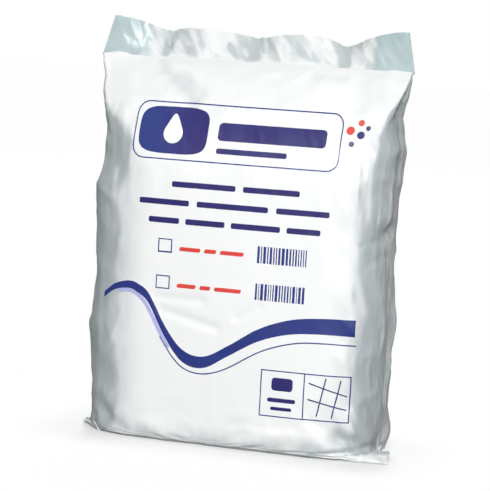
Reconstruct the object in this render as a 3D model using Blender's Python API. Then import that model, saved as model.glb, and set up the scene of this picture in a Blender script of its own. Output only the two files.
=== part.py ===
"""A sealed film pack of urine leg bags, standing on its base, as one closed solid.

The pack is a gusseted tube of white plastic film. It is welded flat across the top, where
the seal stands up as a thin fin, and across the bottom, where the seal is folded forward
under the base and its two ends stick out as flat ears. The bags inside fill it.

Metres, Z up, the printed face towards -Y. The origin is under the middle of the pack, on
the surface that it stands on.
"""

import math

import bmesh
import bpy
from mathutils import Vector, noise

PACK_NAME = "film_pack"

# Top seal: the fin above the line where front, gussets and back are welded together
SEAL_WIDTH = 0.2435
SEAL_LEVEL = 0.283
SEAL_HEIGHT = 0.030
SEAL_THICKNESS = 0.0010
SEAL_LEAN = math.radians(30)
SEAL_SAG = 0.005
STIFF_END = 0.046
LEFT_END_SLANT = 0.009
RIGHT_END_SLANT = 0.006

# Creases down the fin: place across, half width, and how far the cut edge is pushed back
SEAL_CREASES = [
    (-0.098, 0.013, -0.0030),
    (-0.072, 0.011, 0.0050),
    (-0.044, 0.013, -0.0035),
    (-0.004, 0.012, 0.0040),
    (0.034, 0.014, -0.0035),
    (0.066, 0.011, 0.0060),
    (0.092, 0.013, -0.0030),
]

# Crumples of the fin, deepest at its cut edge
FIN_CRUMPLE_SIZE = 0.016
FIN_CRUMPLE_DEPTH = 0.0014

# Body: the film round the stack of bags. Its upright edges are rounded as an ellipse, which
# reaches further across the faces than back along the sides.
BODY_WIDTH = 0.227
BODY_DEPTH_LOW = 0.076
BODY_DEPTH_HIGH = 0.070
CORNER_ACROSS = 0.040
CORNER_BACK = 0.024
FACE_CROWN = 0.0035
SIDE_TUCK = 0.0025

# How far the stuffed sides swell out of the plain width: height, left side, right side
SIDE_SWELL = [
    (0.000, -0.0005, 0.0000),
    (0.015, -0.0033, 0.0020),
    (0.030, -0.0010, 0.0020),
    (0.060, 0.0002, -0.0004),
    (0.080, 0.0017, -0.0009),
    (0.105, -0.0003, 0.0018),
    (0.119, -0.0009, 0.0019),
    (0.132, -0.0015, -0.0020),
    (0.150, 0.0003, -0.0018),
    (0.168, 0.0022, -0.0033),
    (0.180, 0.0030, 0.0002),
    (0.198, 0.0010, 0.0007),
    (0.212, -0.0041, 0.0017),
    (0.226, -0.0031, 0.0046),
    (0.240, 0.0009, 0.0011),
    (0.256, 0.0011, -0.0006),
    (0.268, -0.0019, -0.0009),
    (0.283, 0.0000, 0.0000),
]

# Shoulders: the film closes from the body up to the seal, and each gusset opens below it
SHOULDER_HEIGHT = 0.085
SHOULDER_FULLNESS = 0.75
GUSSET_DEPTH = 0.040
GUSSET_DROP = 0.058
EDGE_GAP_AT_SEAL = 0.42
EDGE_GAP_AT_BODY = 0.80
EDGE_FLATNESS = 4

# Base: a flat bottom with the lower seal folded forward under it, from the middle. The
# flap is longer than the body, and the film between its ends and the sides makes webs. The
# flap is the same tube of film as the top seal, pressed flatter.
BASE_INSET = 0.0038
BASE_ROUND = 0.009
FLAP_WIDTH = 0.0215
FLAP_THICKNESS = 0.0014
FLAP_STEP_WIDTH = 0.002
FLAP_STEP_HEIGHT = 0.0012
FLAP_SPREAD = 0.0045
FLAP_LENGTH = SEAL_WIDTH + FLAP_SPREAD
LEFT_EAR_SLANT = 0.015
RIGHT_EAR_SLANT = 0.004
RIGHT_EAR_SKEW = 0.006
EAR_CURL = 0.0030
EAR_WEB_HEIGHT = 0.014
EAR_WEB_SHARE = 0.5
EAR_WEB_SPREAD = 1.25

# Crumples of the loose film, deepest at the sides: broad ones, with finer ones between
CRUMPLE_SIZE = 0.032
CRUMPLE_DEPTH_SIDE = 0.0020
CRUMPLE_DEPTH_FRONT = 0.0007
FINE_CRUMPLE_SIZE = 0.015
FINE_CRUMPLE_SHARE = 0.45
TIGHT_BELOW_SEAL = 0.026

# Folds: face, foot and head (across, up), half width, depth; a minus depth is a ridge
FRONT, BACK, LEFT, RIGHT = "front", "back", "left", "right"
FOLDS = [
    (FRONT, (-0.066, 0.277), (-0.026, 0.250), 0.0075, 0.0024),
    (FRONT, (-0.084, 0.272), (-0.058, 0.252), 0.0070, -0.0016),
    (FRONT, (0.074, 0.279), (0.086, 0.258), 0.0070, 0.0018),
    (FRONT, (0.012, 0.278), (0.024, 0.262), 0.0070, 0.0014),
    (FRONT, (-0.104, 0.232), (-0.086, 0.196), 0.0090, 0.0022),
    (FRONT, (-0.106, 0.150), (-0.088, 0.128), 0.0085, 0.0018),
    (FRONT, (-0.106, 0.062), (-0.086, 0.030), 0.0085, 0.0020),
    (FRONT, (0.112, 0.006), (0.074, 0.030), 0.0075, 0.0032),
    (FRONT, (0.104, 0.196), (0.090, 0.152), 0.0090, 0.0016),
    (FRONT, (-0.030, 0.094), (0.050, 0.112), 0.0085, 0.0009),
    (BACK, (-0.070, 0.276), (-0.034, 0.246), 0.0080, 0.0022),
    (BACK, (0.052, 0.277), (0.078, 0.244), 0.0080, 0.0024),
    (BACK, (0.104, 0.180), (0.070, 0.132), 0.0090, 0.0018),
    (BACK, (-0.106, 0.110), (-0.074, 0.064), 0.0090, 0.0018),
    (BACK, (-0.040, 0.016), (0.030, 0.024), 0.0080, 0.0012),
    (LEFT, (0.000, 0.236), (0.000, 0.030), 0.0070, 0.0026),
    (LEFT, (-0.026, 0.205), (0.018, 0.176), 0.0075, 0.0026),
    (LEFT, (-0.020, 0.118), (0.024, 0.140), 0.0075, 0.0022),
    (LEFT, (0.000, 0.006), (-0.028, 0.046), 0.0070, 0.0028),
    (LEFT, (0.000, 0.006), (0.028, 0.046), 0.0070, 0.0028),
    (RIGHT, (0.000, 0.236), (0.000, 0.030), 0.0070, 0.0026),
    (RIGHT, (0.024, 0.190), (-0.020, 0.160), 0.0075, 0.0026),
    (RIGHT, (-0.024, 0.096), (0.020, 0.122), 0.0075, 0.0024),
    (RIGHT, (0.000, 0.006), (-0.028, 0.046), 0.0070, 0.0030),
    (RIGHT, (0.000, 0.006), (0.028, 0.046), 0.0070, 0.0030),
]

# Lumps where the bags inside press the film out: face, centre (across, up), radius, height
LUMPS = [
    (FRONT, (0.052, 0.046), 0.050, 0.0012),
    (FRONT, (-0.056, 0.196), 0.048, 0.0010),
    (BACK, (-0.040, 0.170), 0.060, 0.0020),
    (BACK, (0.048, 0.070), 0.052, 0.0014),
]

# Mesh fineness
FRONT_STEPS = 38
WALL_STEPS = 33
SHOULDER_STEPS = 10
BASE_ARC_STEPS = 3
FLAP_ROWS = 4
BEHIND_FLAP_ROWS = 5
FIN_STEPS = 5

# Share of the flap's half width by which a place on its very edge may miss it
EDGE_MISS = 0.001

FILM_COLOUR = (0.86, 0.88, 0.88, 1.0)
FILM_ROUGHNESS = 0.32


def smooth(value):
    """Ease from 0 to 1 as value goes from 0 to 1."""
    value = min(max(value, 0.0), 1.0)
    return value * value * (3.0 - 2.0 * value)


def mix(first, second, share):
    return first + (second - first) * share


def body_half_depth(height):
    """Half the pack's depth: full at the base, and closing to the seal over the shoulder."""
    full = mix(BODY_DEPTH_LOW, BODY_DEPTH_HIGH, smooth(height / SEAL_LEVEL)) / 2
    rise = min(max((SEAL_LEVEL - height) / SHOULDER_HEIGHT, 0.0), 1.0)
    closing = math.sin(math.pi / 2 * rise) ** SHOULDER_FULLNESS
    return mix(SEAL_THICKNESS / 2, full, closing)


def base_inset(height):
    """How far the wall is drawn in where it rounds under to the base."""
    rise = min(height / BASE_ROUND, 1.0)
    return BASE_INSET * (1.0 - math.sqrt(1.0 - (1.0 - rise) ** 2))


def side_swell(height, side):
    """How far the left (-1) or right (1) side stands out of the plain width."""
    column = 1 if side < 0 else 2
    for lower, upper in zip(SIDE_SWELL, SIDE_SWELL[1:]):
        if height <= upper[0]:
            share = smooth((height - lower[0]) / (upper[0] - lower[0]))
            return mix(lower[column], upper[column], share)
    return SIDE_SWELL[-1][column]


def side_fractions():
    """Places from front to back, -1 to 1, with a pair at each edge of the folded flap."""
    reach = Section(0.0).corner()[1]
    cut_edge = -FLAP_WIDTH / reach
    before_flap = cut_edge - FLAP_STEP_WIDTH / reach
    behind_flap = FLAP_STEP_WIDTH / reach
    flap = [mix(cut_edge, 0.0, row / FLAP_ROWS) for row in range(FLAP_ROWS)]
    behind = [mix(behind_flap, 1.0, row / BEHIND_FLAP_ROWS) for row in range(BEHIND_FLAP_ROWS)]
    return [-1.0, before_flap, *flap, 0.0, *behind, 1.0]


class Section:
    """The film's outline at one height: a fishtail at the seal that opens to a round box."""

    def __init__(self, height):
        inset = base_inset(height)
        drop = SEAL_LEVEL - height
        self.height = height
        self.opening = smooth(drop / GUSSET_DROP)
        self.half_width = BODY_WIDTH / 2 - inset
        self.half_depth = body_half_depth(height) - inset
        self.corner_back = min(CORNER_BACK, self.half_depth)
        self.inner_x = self.half_width - CORNER_ACROSS
        self.inner_y = self.half_depth - self.corner_back
        self.tail_half_width = SEAL_WIDTH / 2
        gap_share = mix(EDGE_GAP_AT_SEAL, EDGE_GAP_AT_BODY, self.opening)
        self.tail_half_gap = self.half_depth * gap_share
        self.notch = GUSSET_DEPTH * min(max(1.0 - drop / GUSSET_DROP, 0.0), 1.0)

    def corner(self):
        """The film's edge in the middle of the right front rounding, as distances."""
        half_turn = math.sqrt(0.5)
        return (self.inner_x + CORNER_ACROSS * half_turn,
                self.inner_y + self.corner_back * half_turn)

    def front_point(self, share):
        """A point on the front panel, with share from 0 at its left edge to 1 at its right."""
        edge_x, edge_y = self.corner()
        rounding = math.hypot(edge_x - self.inner_x, self.half_depth - edge_y)
        travel = (2.0 * share - 1.0) * (self.inner_x + rounding)
        over = max(abs(travel) - self.inner_x, 0.0) / rounding
        turn = math.pi / 2 - math.pi / 4 * over
        x = min(abs(travel), self.inner_x) + CORNER_ACROSS * math.cos(turn)
        y = self.inner_y + self.corner_back * math.sin(turn)
        y += FACE_CROWN * (1.0 - (x / self.half_width) ** 2)
        tail_x = mix(-self.tail_half_width, self.tail_half_width, share)
        middle = 1.0 - abs(tail_x / self.tail_half_width) ** EDGE_FLATNESS
        tail_y = mix(self.tail_half_gap, self.half_depth, middle)
        x = math.copysign(x, travel)
        return mix(tail_x, x, self.opening), -mix(tail_y, y, self.opening)

    def side_point(self, fraction, side):
        """A point on a gusset: fraction -1 at the front to 1 at the back, side -1 left, 1 right."""
        y = self.corner()[1] * fraction
        over = max(abs(y) - self.inner_y, 0.0) / self.corner_back
        x = self.inner_x + CORNER_ACROSS * math.sqrt(1.0 - over ** 2)
        x -= SIDE_TUCK * (1.0 - fraction ** 2)
        forward = -y / FLAP_WIDTH
        if side > 0:
            ear_x = FLAP_LENGTH / 2 - RIGHT_EAR_SLANT * (1.0 - forward)
            ear_y = y - RIGHT_EAR_SKEW * forward
        else:
            ear_x = FLAP_LENGTH / 2 - LEFT_EAR_SLANT * forward
            ear_y = y
        ear = self.ear(y)
        x, y = mix(x, ear_x, ear), mix(y, ear_y, ear)
        tail_x = self.tail_half_width - self.notch * (1.0 - abs(fraction))
        tail_y = self.tail_half_gap * fraction
        return side * mix(tail_x, x, self.opening), mix(tail_y, y, self.opening)

    def ear(self, y):
        """Share of the way out to the end of the folded flap: all of it in the flap's layer."""
        from_middle = abs(y + FLAP_WIDTH / 2) / (FLAP_WIDTH / 2)
        if self.height <= FLAP_THICKNESS:
            return 1.0 if from_middle < 1.0 + EDGE_MISS else 0.0
        climb = max(1.0 - self.height / EAR_WEB_HEIGHT, 0.0)
        return EAR_WEB_SHARE * climb * smooth(EAR_WEB_SPREAD - from_middle)

    def curl(self, fraction):
        """How far an end of the flap is lifted off the floor, most where the film pulls it."""
        y = self.corner()[1] * fraction
        lifted = self.height <= FLAP_THICKNESS and fraction < 0.0
        return EAR_CURL * smooth(1.0 + y / FLAP_WIDTH) * self.ear(y) if lifted else 0.0


def fold_press(face, across, height):
    """How deep the folds of one face press in at a place on it."""
    press = 0.0
    place = Vector((across, height))
    for fold_face, foot, head, half_width, depth in FOLDS:
        if fold_face != face:
            continue
        start, run = Vector(foot), Vector(head) - Vector(foot)
        along = min(max((place - start).dot(run) / run.length_squared, 0.0), 1.0)
        away = (place - start - run * along).length / half_width
        press += depth * math.exp(-away * away)
    for lump_face, centre, radius, rise in LUMPS:
        if lump_face == face:
            away = (place - Vector(centre)).length / radius
            press -= rise * math.exp(-away * away)
    return press


def outward(point, section):
    """The level direction straight out of the round box's outline."""
    x, y, _ = point
    over_x = max(abs(x) - section.inner_x, 0.0) / CORNER_ACROSS ** 2
    over_y = max(abs(y) - section.inner_y, 0.0) / section.corner_back ** 2
    direction = Vector((math.copysign(over_x, x), math.copysign(over_y, y), 0.0))
    return direction.normalized()


def crumple(point):
    """Ridges between shallow dents, from about -1 to 1: broad ones and finer ones."""
    broad = 1.0 - 2.0 * abs(noise.noise(point / CRUMPLE_SIZE))
    fine = 1.0 - 2.0 * abs(noise.noise(point / FINE_CRUMPLE_SIZE))
    return mix(broad, fine, FINE_CRUMPLE_SHARE)


def relief(point, section):
    """Folds, lumps and crumples, as a push outwards along the outline's normal."""
    x, y, z = point
    direction = outward(point, section)
    sideways = abs(direction.x)
    facing = FRONT if y < 0 else BACK
    press = (1.0 - sideways) * fold_press(facing, x, z)
    press += sideways * fold_press(RIGHT if x > 0 else LEFT, y, z)
    press -= crumple(point) * mix(CRUMPLE_DEPTH_FRONT, CRUMPLE_DEPTH_SIDE, sideways)
    settled = smooth(z / BASE_ROUND) * smooth((SEAL_LEVEL - z) / TIGHT_BELOW_SEAL)
    swell = side_swell(z, x) * smooth((abs(x) - section.inner_x) / CORNER_ACROSS)
    return Vector((math.copysign(1.0, x) * swell, 0.0, 0.0)) - direction * press * settled


def wall_levels():
    """Heights of the body's sections, from the base up to just below the seal."""
    flap_top = FLAP_THICKNESS + FLAP_STEP_HEIGHT
    arc = [0.0, FLAP_THICKNESS]
    arc += [mix(flap_top, BASE_ROUND, step / BASE_ARC_STEPS) for step in range(BASE_ARC_STEPS)]
    wall_top = SEAL_LEVEL - GUSSET_DROP
    wall = [mix(BASE_ROUND, wall_top, step / WALL_STEPS) for step in range(WALL_STEPS)]
    shoulder = [mix(wall_top, SEAL_LEVEL, step / SHOULDER_STEPS)
                for step in range(SHOULDER_STEPS)]
    return arc + wall + shoulder


def fin_point(share, climb, side):
    """A point on the seal: share across, climb from 0 at its line to 1 at its cut edge."""
    x = mix(-SEAL_WIDTH / 2, SEAL_WIDTH / 2, share)
    middle = smooth((SEAL_WIDTH / 2 - abs(x)) / STIFF_END)
    slant = RIGHT_END_SLANT if x > 0 else LEFT_END_SLANT
    x -= math.copysign(slant * climb * (1.0 - middle), x)
    film = climb * (SEAL_HEIGHT - SEAL_SAG * middle)
    back = film * math.sin(SEAL_LEAN * middle)
    for place, half_width, push in SEAL_CREASES:
        back += push * climb * math.exp(-((x - place) / half_width) ** 2)
    rough = noise.noise(Vector((x, film, 0.0)) / FIN_CRUMPLE_SIZE)
    back += FIN_CRUMPLE_DEPTH * rough * smooth(2.0 * climb)
    rise = math.sqrt(max(film ** 2 - back ** 2, 0.0))
    return Vector((x, back + side * SEAL_THICKNESS / 2, SEAL_LEVEL + rise))


def section_ring(mesh, height, fractions):
    """Make one outline of the body; return its front, right, back and left rows."""
    section = Section(height)
    shares = [step / FRONT_STEPS for step in range(FRONT_STEPS + 1)]

    def vertex(x, y, lift=0.0):
        point = Vector((x, y, height))
        return mesh.verts.new(point + relief(point, section) + Vector((0.0, 0.0, lift)))

    def gusset(side):
        return [vertex(*section.side_point(fraction, side), section.curl(fraction))
                for fraction in fractions[1:-1]]

    panel = [section.front_point(share) for share in shares]
    front = [vertex(x, y) for x, y in panel]
    back = [vertex(x, -y) for x, y in panel]
    right, left = gusset(1), gusset(-1)
    return {
        "front": front,
        "back": back,
        "right": [front[-1], *right, back[-1]],
        "left": [front[0], *left, back[0]],
    }


def bridge(mesh, lower, upper, flip):
    """Join two rows of equal length with quads; flip turns the faces round."""
    for step in range(len(lower) - 1):
        corners = [lower[step], lower[step + 1], upper[step + 1], upper[step]]
        mesh.faces.new(list(reversed(corners)) if flip else corners)


def add_body(mesh):
    """Loft the body's walls and return its lowest and highest rings."""
    fractions = side_fractions()
    rings = [section_ring(mesh, height, fractions) for height in wall_levels()]
    for lower, upper in zip(rings, rings[1:]):
        bridge(mesh, lower["front"], upper["front"], False)
        bridge(mesh, lower["right"], upper["right"], False)
        bridge(mesh, lower["back"], upper["back"], True)
        bridge(mesh, lower["left"], upper["left"], True)
    return rings[0], rings[-1]


def add_base(mesh, ring):
    """Close the bottom with rows from left to right, stepped at the folded flap's edges."""
    beside = FLAP_WIDTH / 2 + FLAP_STEP_WIDTH
    rows = [ring["front"]]
    for left, right in zip(ring["left"][1:-1], ring["right"][1:-1]):
        y = left.co.y
        from_edge = abs(y + FLAP_WIDTH / 2) - beside
        lift = FLAP_STEP_HEIGHT if abs(from_edge) < FLAP_STEP_WIDTH / 2 else 0.0
        middle = [mesh.verts.new((front.co.x, y, lift)) for front in ring["front"][1:-1]]
        rows.append([left, *middle, right])
    rows.append(ring["back"])
    for front_row, back_row in zip(rows, rows[1:]):
        bridge(mesh, front_row, back_row, True)


def add_gusset_roof(mesh, side, front_seal, back_seal, flip):
    """Close the top of one gusset's pocket against the end of the seal."""
    middle = len(side) // 2
    triangles = [(side[step], side[step + 1], front_seal) for step in range(middle)]
    triangles += [(side[step], side[step + 1], back_seal) for step in range(middle, len(side) - 1)]
    triangles.append((front_seal, side[middle], back_seal))
    for corners in triangles:
        mesh.faces.new(tuple(reversed(corners)) if flip else corners)


def add_seal(mesh, ring):
    """Stand the thin fin of the top seal on the body."""
    shares = [step / FRONT_STEPS for step in range(FRONT_STEPS + 1)]
    front_rows, back_rows = [], []
    for step in range(FIN_STEPS + 1):
        climb = step / FIN_STEPS
        front_rows.append([mesh.verts.new(fin_point(share, climb, -1)) for share in shares])
        back_rows.append([mesh.verts.new(fin_point(share, climb, 1)) for share in shares])
    bridge(mesh, ring["front"], front_rows[0], False)
    bridge(mesh, ring["back"], back_rows[0], True)
    for rows, flip in ((front_rows, False), (back_rows, True)):
        for lower, upper in zip(rows, rows[1:]):
            bridge(mesh, lower, upper, flip)
    bridge(mesh, front_rows[-1], back_rows[-1], False)
    for end, flip in ((-1, False), (0, True)):
        front_end = [row[end] for row in front_rows]
        back_end = [row[end] for row in back_rows]
        bridge(mesh, front_end, back_end, not flip)
    add_gusset_roof(mesh, ring["right"], front_rows[0][-1], back_rows[0][-1], False)
    add_gusset_roof(mesh, ring["left"], front_rows[0][0], back_rows[0][0], True)


def film_material():
    """White glossy polythene film."""
    material = bpy.data.materials.new("white_film")
    material.use_nodes = True
    shader = material.node_tree.nodes["Principled BSDF"]
    shader.inputs["Base Color"].default_value = FILM_COLOUR
    shader.inputs["Roughness"].default_value = FILM_ROUGHNESS
    shader.inputs["Metallic"].default_value = 0.0
    return material


def centre_on_base(mesh):
    """Put the origin under the middle of the pack's box."""
    for axis in (0, 1):
        places = [vert.co[axis] for vert in mesh.verts]
        middle = (min(places) + max(places)) / 2
        for vert in mesh.verts:
            vert.co[axis] -= middle


def build_pack(collection):
    """Model the pack and add it to the collection."""
    mesh = bmesh.new()
    lowest, highest = add_body(mesh)
    add_base(mesh, lowest)
    add_seal(mesh, highest)
    centre_on_base(mesh)
    data = bpy.data.meshes.new(PACK_NAME)
    bmesh.ops.recalc_face_normals(mesh, faces=mesh.faces)
    mesh.to_mesh(data)
    mesh.free()
    data.shade_smooth()
    data.set_sharp_from_angle(angle=math.radians(50))
    data.materials.append(film_material())
    pack = bpy.data.objects.new(PACK_NAME, data)
    collection.objects.link(pack)
    return pack


for old in list(bpy.data.objects):
    bpy.data.objects.remove(old, do_unlink=True)

pack_collection = bpy.data.collections.new("sealed_leg_bag_pack")
bpy.context.scene.collection.children.link(pack_collection)
build_pack(pack_collection)
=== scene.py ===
import math

import bmesh
import bpy
import numpy as np
from mathutils import Matrix, Vector, noise
from mathutils.bvhtree import BVHTree


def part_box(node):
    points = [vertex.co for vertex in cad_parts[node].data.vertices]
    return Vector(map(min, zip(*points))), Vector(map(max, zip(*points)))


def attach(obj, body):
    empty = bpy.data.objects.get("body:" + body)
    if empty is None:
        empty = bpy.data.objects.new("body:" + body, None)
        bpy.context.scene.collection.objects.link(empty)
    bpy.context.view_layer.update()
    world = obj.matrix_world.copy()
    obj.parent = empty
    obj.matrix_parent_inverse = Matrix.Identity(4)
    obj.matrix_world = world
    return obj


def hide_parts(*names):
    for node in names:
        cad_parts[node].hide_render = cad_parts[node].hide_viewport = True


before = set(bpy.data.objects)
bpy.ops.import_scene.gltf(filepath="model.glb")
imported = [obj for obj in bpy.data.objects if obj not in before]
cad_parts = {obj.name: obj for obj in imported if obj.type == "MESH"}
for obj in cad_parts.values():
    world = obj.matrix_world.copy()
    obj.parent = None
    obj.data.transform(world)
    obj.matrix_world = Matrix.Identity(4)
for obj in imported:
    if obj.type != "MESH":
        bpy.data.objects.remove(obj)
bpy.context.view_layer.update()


# The film body: a tube of white polythene film with a gusset folded into each side, filled
# with flat bags. The film is cut a little longer than the stack that it holds, and it is
# drawn onto it with cloth simulation, so that the spare length gathers into folds.

FILM = "film_pack"
PACK_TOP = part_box(FILM)[1][2]
FIN_HEIGHT = 0.030
SEAL_LEVEL = PACK_TOP - FIN_HEIGHT
SHOULDER_LEVEL = 0.235
STACK_INSET = 0.0015
FINE_DENTS = 0.0006
FINE_DENT_SIZE = 0.012
SPARE_FILM_FRONT = 0.008
SPARE_FILM_SIDE = 0.018
FILM_STEPS = 24
CREASE_DEPTH = 0.0010
CREASE_SIZE = 0.022
FINE_CREASE_SIZE = 0.010
CREASE_STRETCH = 0.65
CREASE_SLANT = 0.4
BEND = 0.008
BEND_SIZE = 0.030
NOISE_SEED = 7

# Soft folds of the front: foot and head (across, up), half width, depth, how much painted shade
FRONT_FOLDS = [
    ((-0.071, 0.279), (-0.038, 0.2535), 0.0056, 0.0018, 0.38),
    ((-0.056, 0.274), (-0.033, 0.2596), 0.0036, 0.0010, 0.24),
    ((-0.066, 0.268), (-0.050, 0.256), 0.0050, -0.0012, 0.0),
    ((-0.020, 0.277), (0.018, 0.270), 0.0060, 0.0006, 0.12),
    ((0.048, 0.2766), (0.072, 0.2760), 0.0032, 0.0009, 0.26),
    ((-0.050, 0.099), (-0.006, 0.089), 0.0034, 0.0010, 0.12),
    ((-0.054, 0.108), (-0.018, 0.1085), 0.0030, 0.0008, 0.09),
    ((0.010, 0.098), (0.026, 0.108), 0.0034, 0.0007, 0.07),
    ((0.090, 0.0190), (0.113, 0.0090), 0.0052, 0.0024, 0.40),
    ((0.066, 0.0100), (0.098, 0.0150), 0.0060, 0.0006, 0.16),
    ((-0.092, 0.0150), (-0.076, 0.0075), 0.0048, 0.0012, 0.26),
    ((-0.102, 0.0260), (-0.090, 0.0120), 0.0050, 0.0012, 0.20),
    ((0.070, 0.0030), (0.112, 0.0098), 0.0017, 0.0013, 0.38),
    ((0.098, 0.158), (0.106, 0.161), 0.0022, 0.0005, 0.20),
    ((0.104, 0.144), (0.110, 0.150), 0.0026, 0.0004, 0.14),
]

# How far sideways the film is turned where its painted shade starts, and where the shade is full
RIGHT_TURNS = (0.20, 0.66)
LEFT_TURNS = (0.02, 0.40)
LEFT_TURNS_ADDED_HIGH_UP = (0.20, 0.25)
BACK_TURNS = (0.15, 0.85)

# How much painted shade the film gets at the edges, lower left corner and foot of the front, and
# how much less on the gussets and where the foot is sealed
LEFT_EDGE_GREY = 0.41
LEFT_RIM_GREY = 0.46
RIGHT_EDGE_GREY = 0.27
CORNER_GREY = 0.30
FOOT_GREY = 0.50
GUSSET_LIGHTER = 0.48
SEALED_LIGHTER = 0.7

film_colour = (0.905, 0.915, 0.912, 1.0)

# Without a seed of its own, Blender draws the offsets of its noise by the clock
noise.seed_set(NOISE_SEED)


def ease(value):
    """Go smoothly from 0 to 1."""
    value = min(max(value, 0.0), 1.0)
    return value * value * (3.0 - 2.0 * value)


def rise(value, start, length):
    """Go from 0 to 1 while the value climbs from the start by the length."""
    return ease((value - start) / length)


def fall(value, start, length):
    """Go from 0 to 1 while the value sinks from the start by the length."""
    return ease((start - value) / length)


def new_piece(name, mesh):
    """Put a mesh in the scene as an object of its own."""
    piece = bpy.data.objects.new(name, mesh)
    bpy.context.scene.collection.objects.link(piece)
    return piece


def finished_mesh(piece):
    """The piece's mesh with its modifiers applied."""
    return bpy.data.meshes.new_from_object(
        piece.evaluated_get(bpy.context.evaluated_depsgraph_get()))


class Wire:
    """A socket of a material's nodes; sums on it add Math nodes."""

    def __init__(self, tree, socket):
        self.tree = tree
        self.socket = socket

    def node(self, kind, settings=None, sockets=None, output=0):
        """Add any node: its settings first, then the values or links of its sockets."""
        made = self.tree.nodes.new(kind)
        for name, value in (settings or {}).items():
            setattr(made, name, value)
        for name, value in (sockets or {}).items():
            self.feed(made.inputs[name], value)
        return Wire(self.tree, made.outputs[output])

    def feed(self, socket, value):
        """Set a socket to a value, or link a wire to it."""
        if isinstance(value, Wire):
            self.tree.links.new(value.socket, socket)
        else:
            socket.default_value = value

    def sum(self, operation, first, second):
        return self.node("ShaderNodeMath", {"operation": operation}, {0: first, 1: second})

    def __add__(self, other):
        return self.sum("ADD", self, other)

    def __radd__(self, other):
        return self.sum("ADD", other, self)

    def __sub__(self, other):
        return self.sum("SUBTRACT", self, other)

    def __rsub__(self, other):
        return self.sum("SUBTRACT", other, self)

    def __mul__(self, other):
        return self.sum("MULTIPLY", self, other)

    def __rmul__(self, other):
        return self.sum("MULTIPLY", other, self)

    def blend(self, first, second):
        """Mix two colours by this wire."""
        return self.node(
            "ShaderNodeMix", {"data_type": "RGBA"}, {0: self, 6: first, 7: second}, output=2)


def new_material(name, colour, roughness):
    """A plain surface: the material, its shader and a wire of object coordinates."""
    material = bpy.data.materials.new(name)
    material.use_nodes = True
    shader = material.node_tree.nodes["Principled BSDF"]
    shader.inputs["Base Color"].default_value = colour
    shader.inputs["Roughness"].default_value = roughness
    start = Wire(material.node_tree, None)
    place = start.node("ShaderNodeTexCoord", output=3)
    return material, shader, place


def film_material():
    """White film with a soft gloss, greyed by painted shade where it turns away and at its edges and folds.
    """
    material, shader, place = new_material("white_film", film_colour, 0.30)
    clouds = place.node(
        "ShaderNodeTexNoise", sockets={"Vector": place, "Scale": 26.0, "Detail": 3.0})
    stretched = place.node("ShaderNodeMapping", sockets={"Vector": place, "Scale": (1, 1, 0.35)})
    mottles = place.node(
        "ShaderNodeTexNoise", sockets={"Vector": stretched, "Scale": 85.0, "Detail": 3.0})
    painted_shade = place.node("ShaderNodeAttribute", {"attribute_name": "painted_shade"}, output=2)
    shade = place.node(
        "ShaderNodeMapRange", {"interpolation_type": "SMOOTHSTEP"},
        {"Value": painted_shade * (mottles * 1.3 + 0.35), "From Min": 0.0, "From Max": 1.0})
    # The film's own white, with a grey-teal painted shade mixed in by the attribute read above.
    pressed = clouds.blend((0.885, 0.90, 0.90, 1.0), (0.92, 0.925, 0.92, 1.0))
    painted_shade_colour = mottles.blend((0.30, 0.345, 0.36, 1.0), (0.51, 0.555, 0.57, 1.0))
    place.feed(shader.inputs["Base Color"], shade.blend(pressed, painted_shade_colour))
    place.feed(shader.inputs["Roughness"], 0.30 + clouds * 0.16)
    grain = place.node(
        "ShaderNodeTexNoise", sockets={"Vector": stretched, "Scale": 190.0, "Detail": 4.0})
    crinkle = place.node(
        "ShaderNodeTexVoronoi", {"feature": "SMOOTH_F1"},
        {"Vector": stretched, "Scale": 62.0, "Smoothness": 0.6})
    height = grain * 0.35 + crinkle * 0.65
    bump = place.node(
        "ShaderNodeBump", sockets={"Height": height, "Strength": 0.20, "Distance": 0.0012})
    place.feed(shader.inputs["Normal"], bump)
    return material


def film_without_seal():
    """The solid's own shape, merged back to quads and cut off at the seal line."""
    shape = bmesh.new()
    shape.from_mesh(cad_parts[FILM].data)
    bmesh.ops.remove_doubles(shape, verts=shape.verts, dist=0.00001)
    bmesh.ops.join_triangles(
        shape, faces=shape.faces, angle_face_threshold=1.0, angle_shape_threshold=1.5)
    above = [vert for vert in shape.verts if vert.co.z > SEAL_LEVEL + 0.001]
    bmesh.ops.delete(shape, geom=above, context="VERTS")
    return shape


def film_body():
    """Draw the spare film onto the stack and return the finished piece."""
    stack_shape = film_without_seal()
    stack_shape.normal_update()
    for vert in stack_shape.verts:
        vert.co -= vert.normal * STACK_INSET
    stack_mesh = bpy.data.meshes.new("stack")
    stack_shape.to_mesh(stack_mesh)
    stack_shape.free()

    shape = film_without_seal()
    bmesh.ops.subdivide_edges(
        shape, edges=shape.edges, cuts=1, use_grid_fill=True, smooth=0.5)
    shape.normal_update()
    for vert in shape.verts:
        vert.co += vert.normal * noise.noise(vert.co / FINE_DENT_SIZE) * FINE_DENTS
    mesh = bpy.data.meshes.new("film_body")
    shape.to_mesh(mesh)
    shape.free()
    film = new_piece("film_body", mesh)
    draw_onto_stack(film, new_piece("stack", stack_mesh))
    finer = film.modifiers.new("finer", "SUBSURF")
    finer.levels = finer.render_levels = 1
    film.data = finished_mesh(film)
    film.modifiers.clear()
    crease(film.data)
    film.data.shade_smooth()
    return film


def looseness(place):
    """How loose the film is: 1 round the sides, little on the stretched front panel."""
    x, y, z = place
    side = rise(abs(x), 0.066, 0.038) * (1 - 0.75 * rise(z, SHOULDER_LEVEL, 0.030))
    shoulder = 0.40 * rise(z, SHOULDER_LEVEL, 0.025)
    foot = 0.40 * fall(z, 0.030, 0.020)
    back = 0.80 if y > 0.0 else 0.10
    return max(side, shoulder, foot, back)


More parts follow.
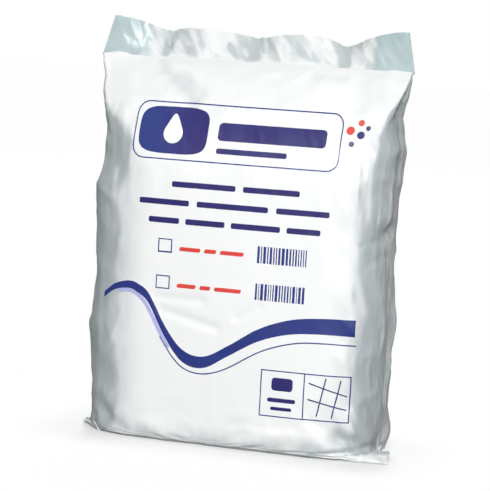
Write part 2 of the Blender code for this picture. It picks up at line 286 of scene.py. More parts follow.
def fold_at(place):
    """How deep the front's soft folds press in at a place, and how much painted shade they lay there."""
    press = grey = 0.0
    if place.y > -0.001:
        return press, grey
    spot = Vector((place.x, place.z))
    for foot, head, half_width, depth, greyness in FRONT_FOLDS:
        start, run = Vector(foot), Vector(head) - Vector(foot)
        along = min(max((spot - start).dot(run) / run.length_squared, 0.0), 1.0)
        near = math.exp(-((spot - start - run * along).length / half_width) ** 2)
        press += depth * near
        grey += greyness * near
    return press, grey


def painted_shade_at(place, normal):
    """Painted shade, 0 to 1: more where the film turns sideways and at the front's edges, corner and foot.
    """
    x, y, z = place
    turned = abs(normal.x)
    first, last = RIGHT_TURNS
    if y > 0:
        first, last = BACK_TURNS
    elif normal.x < 0:
        high = rise(z, 0.215, 0.035)
        first, last = (
            turn + added * high for turn, added in zip(LEFT_TURNS, LEFT_TURNS_ADDED_HIGH_UP))
    # Painted shade where the film turns sideways, less on the gussets below the shoulder.
    turned_away_shade = rise(turned, first, last - first)
    turned_away_shade *= 1 - GUSSET_LIGHTER * fall(z, 0.245, 0.04) * rise(turned, 0.88, 0.12)
    left_edge = LEFT_EDGE_GREY * rise(-x, 0.050, 0.034) + LEFT_RIM_GREY * rise(-x, 0.087, 0.014)
    left_edge *= fall(z, SHOULDER_LEVEL, 0.04)
    right_edge = RIGHT_EDGE_GREY * rise(x, 0.068, 0.024)
    corner = CORNER_GREY * fall(z, 0.07, 0.06) * rise(-x, 0.045, 0.03)
    foot = FOOT_GREY * fall(z, 0.022, 0.020)
    on_front = max(left_edge, right_edge, foot, corner) if y < 0 else 0.0
    sealed = fall(z, 0.008, 0.004) * rise(x, 0.07, 0.03)
    return max(turned_away_shade, on_front) * (1 - SEALED_LIGHTER * sealed)


def crease(mesh):
    """Press creases into the loose film, and note its painted shade, that of the front's folds too."""
    mesh.update()
    normals = [vert.normal.copy() for vert in mesh.vertices]
    painted_shade = mesh.attributes.new("painted_shade", "FLOAT", "POINT")
    for vert, normal in zip(mesh.vertices, normals):
        place = vert.co
        pressed_in, grey = fold_at(place)
        painted_shade.data[vert.index].value = painted_shade_at(place, normal) + grey
        bent = place + noise.noise_vector(place / BEND_SIZE) * BEND
        slanted = Vector((bent.x, bent.y, bent.z * CREASE_STRETCH + (bent.x + bent.y) * CREASE_SLANT))
        broad = 0.5 - 2.4 * abs(noise.noise(slanted / CREASE_SIZE))
        fine = 0.4 - 2.0 * abs(noise.noise(slanted / FINE_CREASE_SIZE))
        held = rise(place.z, 0.0, 0.006) * fall(place.z, SEAL_LEVEL, 0.010)
        push = CREASE_DEPTH * (broad + 0.4 * fine) * looseness(place) - pressed_in
        vert.co = place + normal * push * held
        vert.co.z = max(vert.co.z, 0.0)


def draw_onto_stack(film, stack):
    """Run the cloth: the film is longer than the stack, and mild suction draws it on."""
    held = film.vertex_groups.new(name="held")
    spare = film.vertex_groups.new(name="spare")
    for vert in film.data.vertices:
        x, y, z = vert.co
        shoulder = rise(z, 0.215, 0.040)
        held.add([vert.index], 1.0 if z < 0.003 else shoulder, "REPLACE")
        side = min(max((abs(x) - 0.080) / 0.030, 0.0), 1.0) * (1.0 - shoulder)
        back = 0.3 if y > 0.01 else 0.0
        spare.add([vert.index], max(side, back), "REPLACE")
    stack.modifiers.new("stack", "COLLISION")
    stack.collision.thickness_outer = 0.0005
    stack.collision.cloth_friction = 10
    cloth = film.modifiers.new("cloth", "CLOTH")
    film_stuff = cloth.settings
    film_stuff.quality = 5
    film_stuff.mass = 0.02
    for kind in ("tension", "compression"):
        setattr(film_stuff, kind + "_stiffness", 40)
        setattr(film_stuff, kind + "_damping", 10)
    film_stuff.shear_stiffness = 20
    film_stuff.shear_damping = 10
    film_stuff.bending_stiffness = 0.5
    film_stuff.bending_damping = 0.5
    film_stuff.air_damping = 3
    film_stuff.vertex_group_mass = "held"
    film_stuff.pin_stiffness = 1
    film_stuff.vertex_group_shrink = "spare"
    film_stuff.shrink_min = -SPARE_FILM_FRONT
    film_stuff.shrink_max = -SPARE_FILM_SIDE
    film_stuff.use_pressure = True
    film_stuff.uniform_pressure_force = -1.5
    film_stuff.effector_weights.gravity = 0
    cloth.collision_settings.distance_min = 0.0006
    cloth.collision_settings.collision_quality = 2
    cloth.point_cache.frame_end = FILM_STEPS
    for step in range(1, FILM_STEPS + 1):
        bpy.context.scene.frame_set(step)
    drawn = finished_mesh(film)
    film.modifiers.clear()
    film.vertex_groups.clear()
    film.data = drawn
    bpy.data.objects.remove(stack)
    bpy.context.scene.frame_set(1)


film = film_body()
film.data.materials.clear()
film.data.materials.append(film_material())
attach(film, "root")
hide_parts(FILM)


# Print: flat ink on the front of the film, laid on as thin skins that follow its folds.
# Every shape is a plain bar, box, dot, drop, frame, line or stripe. The wave stands a little
# prouder than the rest, because it lies over its pale edge, and so do the dots on the slope.

INK_CELL = 0.0016
INK_PROUD = 0.00018
WAVE_PROUD = 0.00030
DOTS_PROUD = 0.00045
INK_THICKNESS = 0.00030
THIN_LINE = 0.0009
BOX_LINE = 0.0008
BEFORE_THE_PACK = -0.2
HEADING_TURNS_VIOLET = (-0.074, -0.028)

film_tree = BVHTree.FromPolygons(
    [vert.co.copy() for vert in film.data.vertices],
    [list(face.vertices) for face in film.data.polygons])


def ink_material(name, colour, right_colour=None):
    """Ink with the film's own gloss, a little uneven; it may turn to another colour rightwards."""
    material, shader, place = new_material(name, colour, 0.42)
    patches = place.node(
        "ShaderNodeTexNoise", sockets={"Vector": place, "Scale": 60.0, "Detail": 2.0})

    def uneven(ink):
        paler = tuple(min(1.0, part * 1.25 + 0.003) for part in ink[:3]) + (1.0,)
        return patches.blend(ink, paler)

    shade = uneven(colour)
    if right_colour:
        across = place.node("ShaderNodeSeparateXYZ", sockets={0: place}, output=0)
        first, last = HEADING_TURNS_VIOLET
        turning = place.node(
            "ShaderNodeMapRange", {"interpolation_type": "SMOOTHSTEP"},
            {"Value": across, "From Min": first, "From Max": last})
        shade = turning.blend(shade, uneven(right_colour))
    patches.feed(shader.inputs["Base Color"], shade)
    grain = place.node(
        "ShaderNodeTexNoise", sockets={"Vector": place, "Scale": 190.0, "Detail": 3.0})
    bump = place.node(
        "ShaderNodeBump", sockets={"Height": grain, "Strength": 0.15, "Distance": 0.0008})
    place.feed(shader.inputs["Normal"], bump)
    return material


blue_ink = ink_material("blue_ink", (0.008, 0.021, 0.165, 1.0))
violet_ink = ink_material("violet_ink", (0.008, 0.005, 0.105, 1.0))
heading_ink = ink_material("heading_ink", (0.008, 0.024, 0.165, 1.0), (0.008, 0.003, 0.110, 1.0))
pale_ink = ink_material("pale_ink", (0.40, 0.41, 0.68, 1.0))
red_ink = ink_material("red_ink", (0.62, 0.045, 0.035, 1.0))


def thin_piece(name, shape, thickness, material, offset=0.0, sharp_from=60):
    """Make an open sheet a piece of its own, with a thickness and a finish."""
    mesh = bpy.data.meshes.new(name)
    shape.to_mesh(mesh)
    shape.free()
    piece = new_piece(name, mesh)
    wall = piece.modifiers.new("wall", "SOLIDIFY")
    wall.thickness = thickness
    wall.offset = offset
    piece.data = finished_mesh(piece)
    piece.modifiers.clear()
    piece.data.shade_smooth()
    piece.data.set_sharp_from_angle(angle=math.radians(sharp_from))
    piece.data.materials.clear()
    piece.data.materials.append(material)
    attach(piece, "root")


def lay_on_film(name, flat, ink, proud=INK_PROUD):
    """Cut a flat shape, drawn across and up, into small cells and lay it on the film."""
    lows = [min(vert.co[axis] for vert in flat.verts) for axis in (0, 1)]
    highs = [max(vert.co[axis] for vert in flat.verts) for axis in (0, 1)]
    for axis, (low, high) in enumerate(zip(lows, highs)):
        normal = Vector((1, 0, 0)) if axis == 0 else Vector((0, 1, 0))
        for step in range(1, int((high - low) / INK_CELL) + 1):
            bmesh.ops.bisect_plane(
                flat, geom=flat.verts[:] + flat.edges[:] + flat.faces[:],
                plane_co=normal * (low + step * INK_CELL), plane_no=normal)
    bmesh.ops.triangulate(flat, faces=[face for face in flat.faces if len(face.verts) > 4])
    for vert in flat.verts:
        across, up, _ = vert.co
        hit = film_tree.ray_cast(Vector((across, BEFORE_THE_PACK, up)), Vector((0, 1, 0)))
        vert.co = (across, hit[0].y - proud, up)
    flat.normal_update()
    for face in flat.faces:
        if face.normal.y > 0:
            face.normal_flip()
    thin_piece(name, flat, INK_THICKNESS, ink, offset=-1, sharp_from=50)


def box_face(flat, low, high, round_corners=0.0):
    """Add a filled box, with round corners if asked."""
    corners = [(low[0], low[1]), (high[0], low[1]), (high[0], high[1]), (low[0], high[1])]
    verts = [flat.verts.new((x, y, 0)) for x, y in corners]
    flat.faces.new(verts)
    if round_corners:
        bmesh.ops.bevel(
            flat, geom=verts, offset=round_corners, segments=5, affect="VERTICES", profile=0.5)


def line_face(flat, points, width):
    """Add a line of constant width through the points."""
    rims = []
    for number, point in enumerate(points):
        before = Vector(points[max(number - 1, 0)])
        after = Vector(points[min(number + 1, len(points) - 1)])
        along = (after - before).normalized()
        aside = Vector((-along.y, along.x)) * width / 2
        middle = Vector(point)
        rims.append([flat.verts.new((*(middle + aside), 0)), flat.verts.new((*(middle - aside), 0))])
    for (left, right), (next_left, next_right) in zip(rims, rims[1:]):
        flat.faces.new((right, next_right, next_left, left))


def frame_face(flat, low, high, line, round_corners=0.0):
    """Add the outline of a box, as a ring of strips between its edge and a smaller box."""
    rings = []
    for inset in (0.0, line):
        ring = bmesh.new()
        box_face(ring, (low[0] + inset, low[1] + inset), (high[0] - inset, high[1] - inset),
                 max(round_corners - inset, 0.0))
        face = ring.faces[:][0]
        rings.append([loop.vert.co.copy() for loop in face.loops])
        ring.free()
    outer = [flat.verts.new(place) for place in rings[0]]
    inner = [flat.verts.new(place) for place in rings[1]]
    for step in range(len(outer)):
        following = (step + 1) % len(outer)
        flat.faces.new((outer[step], outer[following], inner[following], inner[step]))


def bar_row_tree():
    """Nodes for a row of upright boxes of chance widths that fill a given length."""
    tree = bpy.data.node_groups.new("bar_row", "GeometryNodeTree")
    sockets = {}
    for name, kind, value in (
            ("Count", "NodeSocketInt", 4), ("Length", "NodeSocketFloat", 0.1),
            ("Height", "NodeSocketFloat", 0.004), ("Narrowest", "NodeSocketFloat", 1.0),
            ("Widest", "NodeSocketFloat", 2.0), ("Gap", "NodeSocketFloat", 0.3),
            ("Seed", "NodeSocketInt", 1), ("Ink", "NodeSocketMaterial", None)):
        sockets[name] = tree.interface.new_socket(name, in_out="INPUT", socket_type=kind)
        if value is not None:
            sockets[name].default_value = value
    tree.interface.new_socket("Geometry", in_out="OUTPUT", socket_type="NodeSocketGeometry")
    given = {name: socket for name, socket in zip(sockets, tree.nodes.new("NodeGroupInput").outputs)}
    build = Wire(tree, None)

    def number(name):
        return Wire(tree, given[name])

    line = build.node("GeometryNodeMeshLine", sockets={"Count": number("Count"), "Offset": (0, 0, 0)})
    chance = tree.nodes.new("FunctionNodeRandomValue")
    chance.data_type = "FLOAT"
    build.feed(chance.inputs[2], number("Narrowest"))
    build.feed(chance.inputs[3], number("Widest"))
    build.feed(chance.inputs["Seed"], number("Seed"))
    width = Wire(tree, chance.outputs[1])
    runs = tree.nodes.new("GeometryNodeAccumulateField")
    build.feed(runs.inputs[0], width + number("Gap"))
    before, total = Wire(tree, runs.outputs[1]), Wire(tree, runs.outputs[2])
    scale = build.sum("DIVIDE", number("Length"), total - number("Gap"))
    centre = (before + width * 0.5) * scale
    place = build.node("ShaderNodeCombineXYZ", sockets={"X": centre})
    spread = build.node("GeometryNodeSetPosition", sockets={"Geometry": line, "Position": place})
    box = build.node(
        "GeometryNodeMeshGrid",
        sockets={"Size X": 1.0, "Size Y": 1.0, "Vertices X": 2, "Vertices Y": 2})
    size = build.node("ShaderNodeCombineXYZ", sockets={"X": width * scale, "Y": number("Height"), "Z": 1.0})
    bars = build.node(
        "GeometryNodeInstanceOnPoints", sockets={"Points": spread, "Instance": box, "Scale": size})
    solid = build.node("GeometryNodeRealizeInstances", sockets={"Geometry": bars})
    inked = build.node(
        "GeometryNodeSetMaterial", sockets={"Geometry": solid, "Material": number("Ink")})
    build.feed(tree.nodes.new("NodeGroupOutput").inputs[0], inked)
    return tree, {name: socket.identifier for name, socket in sockets.items()}


bar_tree, bar_inputs = bar_row_tree()


def bar_row(flat, low, length, height, sizes, ink, round_corners=0.0, slant=0.0):
    """Add a row of bars with its lower left corner at low."""
    mesh = bpy.data.meshes.new("row")
    row = new_piece("row", mesh)
    maker = row.modifiers.new("bars", "NODES")
    maker.node_group = bar_tree
    values = dict(sizes, Length=length, Height=height, Ink=ink)
    for name, value in values.items():
        maker[bar_inputs[name]] = value
    made = finished_mesh(row)
    bpy.data.objects.remove(row)
    bars = bmesh.new()
    bars.from_mesh(made)
    bmesh.ops.translate(bars, verts=bars.verts, vec=(low[0], low[1] + height / 2, 0))
    for vert in bars.verts:
        vert.co.x += (vert.co.y - low[1]) * slant
    if round_corners:
        bmesh.ops.bevel(bars, geom=bars.verts[:], offset=round_corners, segments=4,
                        affect="VERTICES", profile=0.5)
    bars.to_mesh(made)
    bars.free()
    flat.from_mesh(made)
    bpy.data.meshes.remove(made)


# The heading panel at the top: a blue to violet block with a drop left open in it, beside
# two bars inside a thin round-cornered outline.

BLOCK_STEPS = 72
BLOCK_MIDDLE = (-0.049, 0.231)
BLOCK_HALF_SIZE = (0.027, 0.017)
BLOCK_SQUARENESS = 0.5
DROP_MIDDLE = (-0.049, 0.229)
DROP_RADIUS = 0.0075
DROP_TIP = 0.0065

heading = bmesh.new()
rims = []
for step in range(BLOCK_STEPS):
    turn = math.tau * step / BLOCK_STEPS
    way = (math.cos(turn), math.sin(turn))
    outer = [middle + half * math.copysign(abs(part) ** BLOCK_SQUARENESS, part)
             for middle, half, part in zip(BLOCK_MIDDLE, BLOCK_HALF_SIZE, way)]
    inner = [middle + DROP_RADIUS * part for middle, part in zip(DROP_MIDDLE, way)]
    inner[1] += DROP_TIP * max(way[1], 0.0) ** 6
    rims.append((heading.verts.new((*outer, 0)), heading.verts.new((*inner, 0))))
for (outer, inner), (next_outer, next_inner) in zip(rims, rims[1:] + rims[:1]):
    heading.faces.new((outer, next_outer, next_inner, inner))
lay_on_film("heading_block", heading, heading_ink)

heading_line = bmesh.new()
frame_face(heading_line, (-0.080, 0.2095), (0.079, 0.2515), THIN_LINE, 0.009)
lay_on_film("heading_outline", heading_line, blue_ink)

heading_bars = bmesh.new()
box_face(heading_bars, (-0.014, 0.226), (0.068, 0.239), 0.003)
box_face(heading_bars, (-0.014, 0.2165), (0.040, 0.2205), 0.0015)
lay_on_film("heading_bars", heading_bars, violet_ink)

# Beside it, a few plain dots.
for name, ink, spots in (
        ("red_dots", red_ink, ((0.0815, 0.2370, 0.0058), (0.0890, 0.2435, 0.0044))),
        ("violet_dots", violet_ink, (
            (0.0895, 0.2345, 0.0052), (0.0845, 0.2285, 0.0040), (0.0947, 0.2405, 0.0034)))):
    dots = bmesh.new()
    for across, up, size in spots:
        box_face(dots, (across, up), (across + size, up + size), size / 2.05)
    lay_on_film(name, dots, ink, proud=DOTS_PROUD)


# Three rows of bars under the heading, about as long as words. Their widths are drawn by chance
# from the row's own seed, and fill the row.

ROW_HEIGHT = 0.0042
ROW_ROUNDING = 0.0012

text_rows = bmesh.new()
for low, length, count, seed in (
        ((-0.046, 0.190), 0.098, 2, 3),
        ((-0.071, 0.1765), 0.146, 3, 5),
        ((-0.063, 0.163), 0.132, 4, 2)):
    bar_row(text_rows, low, length, ROW_HEIGHT,
            {"Count": count, "Narrowest": 1.6, "Widest": 4.0, "Gap": 0.45, "Seed": seed},
            violet_ink, round_corners=ROW_ROUNDING)
lay_on_film("text_rows", text_rows, violet_ink)


# Two lines to tick: each has an open box, red bars in a slant and a plain pattern of upright
# bars, whose widths come from the line's own seed.

TICK_BOX = (0.0110, 0.0100)
RED_ROW = (0.0165, 0.0018)
RED_LENGTH = 0.050
RED_HEIGHT = 0.0030
RED_SLANT = 0.25
CODE_LEFT = 0.0228
CODE_DROP = 0.0015
CODE_LENGTH = 0.0372
CODE_HEIGHT = 0.0120

tick_boxes = bmesh.new()
red_rows = bmesh.new()
code_bars = bmesh.new()
for level, left, seed in ((0.1415, -0.0545, 4), (0.1143, -0.0550, 9)):
    frame_face(tick_boxes, (left, level), (left + TICK_BOX[0], level + TICK_BOX[1]), BOX_LINE)
    bar_row(red_rows, (left + RED_ROW[0], level + RED_ROW[1]), RED_LENGTH, RED_HEIGHT,
            {"Count": 3, "Narrowest": 1.0, "Widest": 2.6, "Gap": 0.4, "Seed": seed},
            red_ink, round_corners=0.0011, slant=RED_SLANT)
    bar_row(code_bars, (CODE_LEFT, level - CODE_DROP), CODE_LENGTH, CODE_HEIGHT,
            {"Count": 17, "Narrowest": 0.5, "Widest": 1.9, "Gap": 0.9, "Seed": seed},
            blue_ink)
lay_on_film("tick_boxes", tick_boxes, blue_ink)
lay_on_film("red_rows", red_rows, red_ink)
lay_on_film("code_bars", code_bars, blue_ink)


# The wave: a broad stripe that dips and rises across the pack, with a pale edge where it dips
# and a thin line under it.

PALE_WIDTH = 0.0028
WAVE_POINTS = [
    # across, middle height, width
    (-0.0975, 0.1052, 0.0040), (-0.088, 0.1122, 0.0046), (-0.077, 0.1149, 0.0054),
    (-0.0695, 0.1130, 0.0064), (-0.060, 0.1060, 0.0070),
    (-0.046, 0.0830, 0.0078), (-0.031, 0.0660, 0.0088), (-0.014, 0.0630, 0.0085),
    (0.005, 0.0735, 0.0078), (0.027, 0.0870, 0.0092), (0.050, 0.0950, 0.0105),
    (0.074, 0.0978, 0.0115), (0.098, 0.0978, 0.0122),
]
SHADE_POINTS = [
    (-0.0850, 0.1090), (-0.0795, 0.1105), (-0.0738, 0.1102), (-0.0684, 0.1076),
    (-0.0627, 0.1024), (-0.0581, 0.0958), (-0.0541, 0.0890), (-0.0500, 0.0820),
    (-0.0458, 0.0756), (-0.0425, 0.0708),
]
LINE_POINTS = [
    (-0.0496, 0.0785), (-0.0450, 0.0722), (-0.0388, 0.0642), (-0.0312, 0.0577),
    (-0.0232, 0.0547), (-0.0150, 0.0542), (-0.0060, 0.0560), (0.006, 0.0612),
    (0.030, 0.0755), (0.054, 0.0835), (0.076, 0.0855), (0.099, 0.0850),
]


def smooth_line(points, pieces=14):
    """A smooth curve through the points, any number of values each."""
    rows = [np.array(point) for point in points]
    rows = [2 * rows[0] - rows[1], *rows, 2 * rows[-1] - rows[-2]]
    line = []
    for first, start, end, last in zip(rows, rows[1:], rows[2:], rows[3:]):
        for step in range(pieces):
            t = step / pieces
            line.append(0.5 * (2 * start + (end - first) * t
                               + (2 * first - 5 * start + 4 * end - last) * t ** 2
                               + (3 * start - first - 3 * end + last) * t ** 3))
    return line + [rows[-2]]


wave = bmesh.new()
upper, lower = [], []
for across, middle, width in smooth_line(WAVE_POINTS):
    upper.append(wave.verts.new((across, middle + width / 2, 0)))
    lower.append(wave.verts.new((across, middle - width / 2, 0)))
for step in range(len(upper) - 1):
    wave.faces.new((lower[step], lower[step + 1], upper[step + 1], upper[step]))
lay_on_film("wave_stripe", wave, blue_ink, proud=WAVE_PROUD)

wave_shade = bmesh.new()
line_face(wave_shade, [tuple(point) for point in smooth_line(SHADE_POINTS)], PALE_WIDTH)
lay_on_film("wave_shade", wave_shade, pale_ink)

wave_line = bmesh.new()
line_face(wave_line, [tuple(point) for point in smooth_line(LINE_POINTS)], THIN_LINE)
lay_on_film("wave_line", wave_line, blue_ink)


# The corner panel at the lower right: two cells in a thin frame, one with a block and two
# bars, and one with a few plain lines that cross.

PANEL_LOW = (0.031, 0.0285)
PANEL_HIGH = (0.0975, 0.0628)
DIVIDER_LEFT = 0.0636

corner_frame = bmesh.new()
frame_face(corner_frame, PANEL_LOW, PANEL_HIGH, BOX_LINE)
box_face(corner_frame, (DIVIDER_LEFT, PANEL_LOW[1] + BOX_LINE),
         (DIVIDER_LEFT + BOX_LINE, PANEL_HIGH[1] - BOX_LINE))
lay_on_film("corner_frame", corner_frame, blue_ink)

corner_bars = bmesh.new()
box_face(corner_bars, (0.0395, 0.0480), (0.0555, 0.0575), 0.0025)
box_face(corner_bars, (0.0370, 0.0395), (0.0580, 0.0425), 0.0012)
box_face(corner_bars, (0.0395, 0.0335), (0.0555, 0.0360), 0.0010)
lay_on_film("corner_bars", corner_bars, violet_ink)

panel_lines = bmesh.new()
for start, end in (
        ((0.0672, 0.0560), (0.0952, 0.0480)), ((0.0672, 0.0440), (0.0952, 0.0380)),
        ((0.0740, 0.0318), (0.0800, 0.0605)), ((0.0850, 0.0312), (0.0905, 0.0595))):
    line_face(panel_lines, [start, end], THIN_LINE)
lay_on_film("panel_lines", panel_lines, violet_ink)


# The top seal: the film's own layers pressed flat and welded along their foot, standing up
# as a thin fin. Its free edge is wavy, and its ends, four layers thick, are stiffer.

FIN_WIDTH = 0.2435
FIN_SAG = 0.005
FIN_LEAN = math.radians(30)
FIN_STIFF_END = 0.046
FIN_ROOT = 0.0012
FIN_THICKNESS = 0.0005
FIN_COLUMNS = 220
FIN_ROWS = 26
LAYER_GAP = 0.0011
LEFT_END_SLANT = 0.009
RIGHT_END_SLANT = 0.006
FACET_SIZE = 0.0072
FACET_SLOPE = 0.42
FIN_CREASES = [
    # place across, half width, push back
    (-0.098, 0.013, -0.0030), (-0.072, 0.011, 0.0050), (-0.044, 0.013, -0.0035),
    (-0.004, 0.012, 0.0040), (0.034, 0.014, -0.0035), (0.066, 0.011, 0.0060),
    (0.092, 0.013, -0.0030),
]


def fin_material():
    """Film with nothing behind it: crumpled, with painted light and shade from facet to facet, glassy
    green-grey at its ends.
    """
    material, shader, place = new_material("seal_film", film_colour, 0.25)
    across = place.node("ShaderNodeSeparateXYZ", sockets={0: place}, output=0)
    from_middle = place.node("ShaderNodeMath", {"operation": "ABSOLUTE"}, {0: across})
    clouds = place.node(
        "ShaderNodeTexNoise", sockets={"Vector": place, "Scale": 70.0, "Detail": 4.0})
    ends = place.node(
        "ShaderNodeMapRange", {"interpolation_type": "SMOOTHSTEP"},
        {"Value": from_middle + (clouds - 0.5) * 0.030, "From Min": 0.082, "From Max": 0.090})
    # Painted light and shade, facet by facet, from the facet attribute.
    facet = place.node("ShaderNodeAttribute", {"attribute_name": "facet"}, output=2)
    patches = place.node(
        "ShaderNodeMapRange", {"interpolation_type": "SMOOTHSTEP"},
        {"Value": facet + (clouds - 0.5) * 0.5, "From Min": -0.10, "From Max": 0.92})
    middle = patches.blend((0.53, 0.58, 0.585, 1.0), (0.85, 0.865, 0.865, 1.0))
    glassy = clouds.blend((0.35, 0.46, 0.475, 1.0), (0.55, 0.64, 0.65, 1.0))
    place.feed(shader.inputs["Base Color"], ends.blend(middle, glassy))
    place.feed(shader.inputs["Roughness"], 0.20 + clouds * 0.2)
    bump = place.node(
        "ShaderNodeBump", sockets={"Height": clouds, "Strength": 0.25, "Distance": 0.0015})
    place.feed(shader.inputs["Normal"], bump)
    return material


def facet_at(x, up):
    """Crumpled film's flat facets: how far this place is pushed, and how light its facet is painted."""
    place = Vector((x * 1.15 + up * 0.75, up * 0.5, 0.0)) / FACET_SIZE + Vector((3.7, 1.2, 0.4))
    distances, centres = noise.voronoi(place)
    share = 0.5 + 0.5 * ease((distances[1] - distances[0]) / 0.35)
    push = white = 0.0
    for centre, part in zip(centres[:2], (share, 1 - share)):
        push += part * (place - centre).dot(noise.noise_vector(centre * 7.3))
        white += part * (0.5 + 1.1 * noise.noise(centre * 5.1))
    return push * FACET_SLOPE * FACET_SIZE, white


def fin_sheet(behind, extra_edge):
    """One side of the fin as an open sheet; extra_edge lifts its cut edge in places."""
    sheet = bmesh.new()
    facet = sheet.verts.layers.float.new("facet")
    grid = []
    for row in range(FIN_ROWS + 1):
        climb = row / FIN_ROWS
        line = []
        for column in range(FIN_COLUMNS + 1):
            x = (column / FIN_COLUMNS - 0.5) * FIN_WIDTH
            middle = fall(abs(x), FIN_WIDTH / 2, FIN_STIFF_END)
            film_up = climb * (FIN_HEIGHT - FIN_SAG * middle + extra_edge(x))
            back = film_up * math.sin(FIN_LEAN * middle)
            push_back, white = facet_at(x, film_up + behind)
            # The creases that push back get a painted shade in their valleys, and towards the foot the
            # facets' painted light and shade give way to white.
            for place, half_width, push in FIN_CREASES:
                back += push * climb * math.exp(-((x - place) / half_width) ** 2)
                if push > 0:
                    white -= 1.2 * math.exp(-((x - place) / (0.35 * half_width)) ** 2)
            white += 0.9 * ease(1 - (film_up + FIN_ROOT) / 0.007)
            back += push_back * (0.12 + 0.88 * middle) * ease(climb * 2.5)
            back += behind * (0.35 + 0.65 * climb)
            height = math.sqrt(max(film_up ** 2 - back ** 2, 0.0))
            slant = RIGHT_END_SLANT if x > 0 else LEFT_END_SLANT
            across = x - math.copysign(slant * climb * (1 - middle), x)
            vert = sheet.verts.new((across, back, SEAL_LEVEL - FIN_ROOT + height))
            vert[facet] = white
            line.append(vert)
        grid.append(line)
    for low, high in zip(grid, grid[1:]):
        for step in range(FIN_COLUMNS):
            sheet.faces.new((low[step], low[step + 1], high[step + 1], high[step]))
    return sheet


def back_lip(x):
    """The back layer stands a little above the front one near the left."""
    return 0.0045 * math.exp(-((x + 0.068) / 0.013) ** 2)


for name, behind, edge in (
        ("seal_front", 0.0, lambda x: 0.0), ("seal_back", LAYER_GAP, back_lip)):
    thin_piece(name, fin_sheet(behind, edge), FIN_THICKNESS, fin_material())


# The ears: the ends of the base flap, where a little of its film looks out from under the
# pack's lower corners. The left one is a small web with a point, the right one a folded strip.

EAR_STEPS = 18
EAR_WRINKLE = 0.0012
EAR_BULGE = 0.0020
EAR_THICKNESS = 0.0006
EAR_ABOVE_FLOOR = 0.0006


def ear(name, greyness, inner_top, inner_low, outer_low, outer_top):
    """Stretch a web of film between the body's corner and the end of the seal."""
    edge_top, edge_low, end_low, end_top = map(Vector, (inner_top, inner_low, outer_low, outer_top))
    web = bmesh.new()
    painted_shade = web.verts.layers.float.new("painted_shade")
    grid = []
    for row in range(EAR_STEPS + 1):
        down = row / EAR_STEPS
        line = []
        for column in range(EAR_STEPS + 1):
            out = column / EAR_STEPS
            place = edge_top.lerp(edge_low, down).lerp(end_top.lerp(end_low, down), out)
            wave = noise.noise(Vector((down * 3.0, out * 4.0, 40 * edge_top.x)))
            place.y += EAR_WRINKLE * wave - EAR_BULGE * math.sin(math.pi * down)
            place.x += 2.0 * EAR_WRINKLE * wave * out
            place.z = max(place.z, EAR_ABOVE_FLOOR)
            vert = web.verts.new(place)
            # Painted shade: a base amount, more on the wrinkles and near the top, where the web meets the
            # body's corner.
            vert[painted_shade] = greyness + 0.8 * abs(wave) + 0.5 * ease(1 - 3 * down)
            line.append(vert)
        grid.append(line)
    for first, second in zip(grid, grid[1:]):
        for step in range(EAR_STEPS):
            web.faces.new((first[step], second[step], second[step + 1], first[step + 1]))
    thin_piece(name, web, EAR_THICKNESS, film.data.materials[0])


ear("left_ear", 0.08, (-0.1040, -0.0300, 0.0092), (-0.0960, -0.0345, 0.0008),
    (-0.1185, -0.0095, 0.0008), (-0.1205, -0.0050, 0.0036))
ear("right_ear", 0.20, (0.0960, -0.0340, 0.0055), (0.0940, -0.0345, 0.0008),
    (0.1262, -0.0300, 0.0008), (0.1240, -0.0185, 0.0082))


# The stage: a white floor on a white ground. Its glow fades near the pack's footprint, so that the
# floor is darker there: a painted contact shadow, and the real shadow shows in it too. The front
# has most of its light from one large lamp beside the camera and a little from above and from the
# right, and a lamp behind the pack lights its back.

SHADOW_CORE = (0.112, 0.035, 0)
SHADOW_REACH = 0.055
SHADOW_GLOW = 0.45
GROUND_GLOW = 0.985
CAMERA_TURN = math.radians(18.5)
CAMERA_RISE = math.radians(6.72)
CAMERA_ROLL = math.radians(3.0)
CAMERA_DISTANCE = 1.716
CAMERA_TARGET = Vector((-0.0007, 0.0, 0.1466))
FRAME_PIXELS = 490
FOCAL_PIXELS = 2300

floor_mesh = bpy.data.meshes.new("floor")
floor_shape = bmesh.new()
bmesh.ops.create_grid(floor_shape, x_segments=1, y_segments=1, size=6.0)
floor_shape.to_mesh(floor_mesh)
floor_shape.free()
floor = new_piece("floor", floor_mesh)
floor_white, floor_shader, floor_place = new_material("floor_white", (0.9, 0.9, 0.9, 1), 0.9)
seen = floor_place.node("ShaderNodeLightPath", output=0)
seen.feed(floor_shader.inputs["Base Color"], seen.blend((0.20, 0.20, 0.20, 1), (0.95, 0.95, 0.95, 1)))
glow = floor_place.node("ShaderNodeEmission", sockets={"Color": (1, 1, 1, 1), "Strength": 1.0})
aside = floor_place.node("ShaderNodeVectorMath", {"operation": "ABSOLUTE"}, {0: floor_place})
past = floor_place.node(
    "ShaderNodeVectorMath", {"operation": "SUBTRACT"}, {0: aside, 1: SHADOW_CORE})
clear = floor_place.node("ShaderNodeVectorMath", {"operation": "MAXIMUM"}, {0: past, 1: (0, 0, 0)})
# The glow fades towards the pack: a painted contact shadow around its footprint, over the real one.
far = floor_place.node(
    "ShaderNodeMapRange", {"interpolation_type": "SMOOTHSTEP"},
    {"Value": floor_place.node("ShaderNodeVectorMath", {"operation": "LENGTH"},
                               {0: clear}, output=1),
     "From Min": 0.0, "From Max": SHADOW_REACH, "To Min": SHADOW_GLOW, "To Max": GROUND_GLOW})
shown = floor_place.node("ShaderNodeMixShader", sockets={0: seen * far})
floor_nodes = floor_white.node_tree
floor_nodes.links.new(floor_shader.outputs[0], shown.socket.node.inputs[1])
floor_nodes.links.new(glow.socket, shown.socket.node.inputs[2])
floor_nodes.links.new(shown.socket, floor_nodes.nodes["Material Output"].inputs[0])
floor.data.materials.append(floor_white)

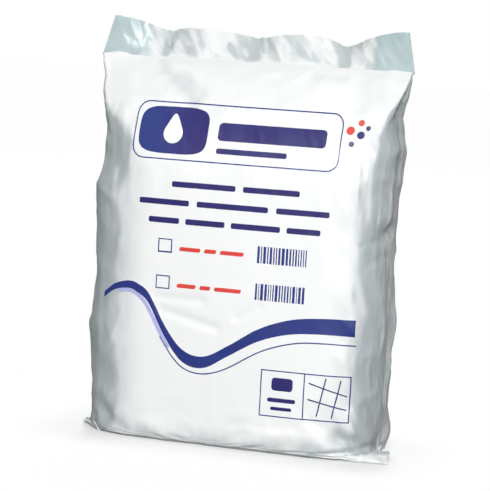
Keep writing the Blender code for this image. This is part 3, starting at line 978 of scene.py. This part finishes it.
world = bpy.data.worlds.new("studio")
bpy.context.scene.world = world
world.use_nodes = True
ground = world.node_tree.nodes["Background"]
sky = Wire(world.node_tree, None)
ray_kind = sky.node("ShaderNodeLightPath", output=0)
mirrored = Wire(world.node_tree, ray_kind.socket.node.outputs["Is Glossy Ray"])
white_ground = sky.sum("MAXIMUM", ray_kind, mirrored)
sky.feed(ground.inputs["Color"], white_ground.blend((0.06, 0.065, 0.068, 1), (1, 1, 1, 1)))


def soft_light(name, place, target, size, power):
    """A square lamp that faces the target."""
    lamp = bpy.data.lights.new(name, "AREA")
    lamp.size = size
    lamp.energy = power
    holder = bpy.data.objects.new(name, lamp)
    bpy.context.scene.collection.objects.link(holder)
    holder.location = place
    holder.rotation_euler = (Vector(target) - Vector(place)).to_track_quat("-Z", "Y").to_euler()


soft_light("key", (0.54, -2.19, 0.97), (0, 0, 0.15), 0.9, 56)
soft_light("overhead", (0.0, 0.2, 2.0), (0, 0, 0), 1.2, 2)
soft_light("right", (1.9, -0.3, 0.6), (0, 0, 0.15), 1.2, 4)
soft_light("back", (-0.4, 2.2, 1.3), (0, 0, 0.15), 1.0, 46)

camera_data = bpy.data.cameras.new("camera")
camera = bpy.data.objects.new("camera", camera_data)
bpy.context.scene.collection.objects.link(camera)
camera_data.sensor_fit = "HORIZONTAL"
camera_data.sensor_width = 36.0
camera_data.lens = FOCAL_PIXELS / FRAME_PIXELS * camera_data.sensor_width
back = Vector((math.sin(CAMERA_TURN) * math.cos(CAMERA_RISE),
               -math.cos(CAMERA_TURN) * math.cos(CAMERA_RISE), math.sin(CAMERA_RISE)))
level = Vector((math.cos(CAMERA_TURN), math.sin(CAMERA_TURN), 0))
upright = back.cross(level)
right = level * math.cos(CAMERA_ROLL) + upright * math.sin(CAMERA_ROLL)
upward = upright * math.cos(CAMERA_ROLL) - level * math.sin(CAMERA_ROLL)
camera.matrix_world = Matrix.Translation(CAMERA_TARGET + back * CAMERA_DISTANCE) @ Matrix(
    (right, upward, back)).transposed().to_4x4()
bpy.context.scene.camera = camera
bpy.context.scene.view_settings.view_transform = "Standard"
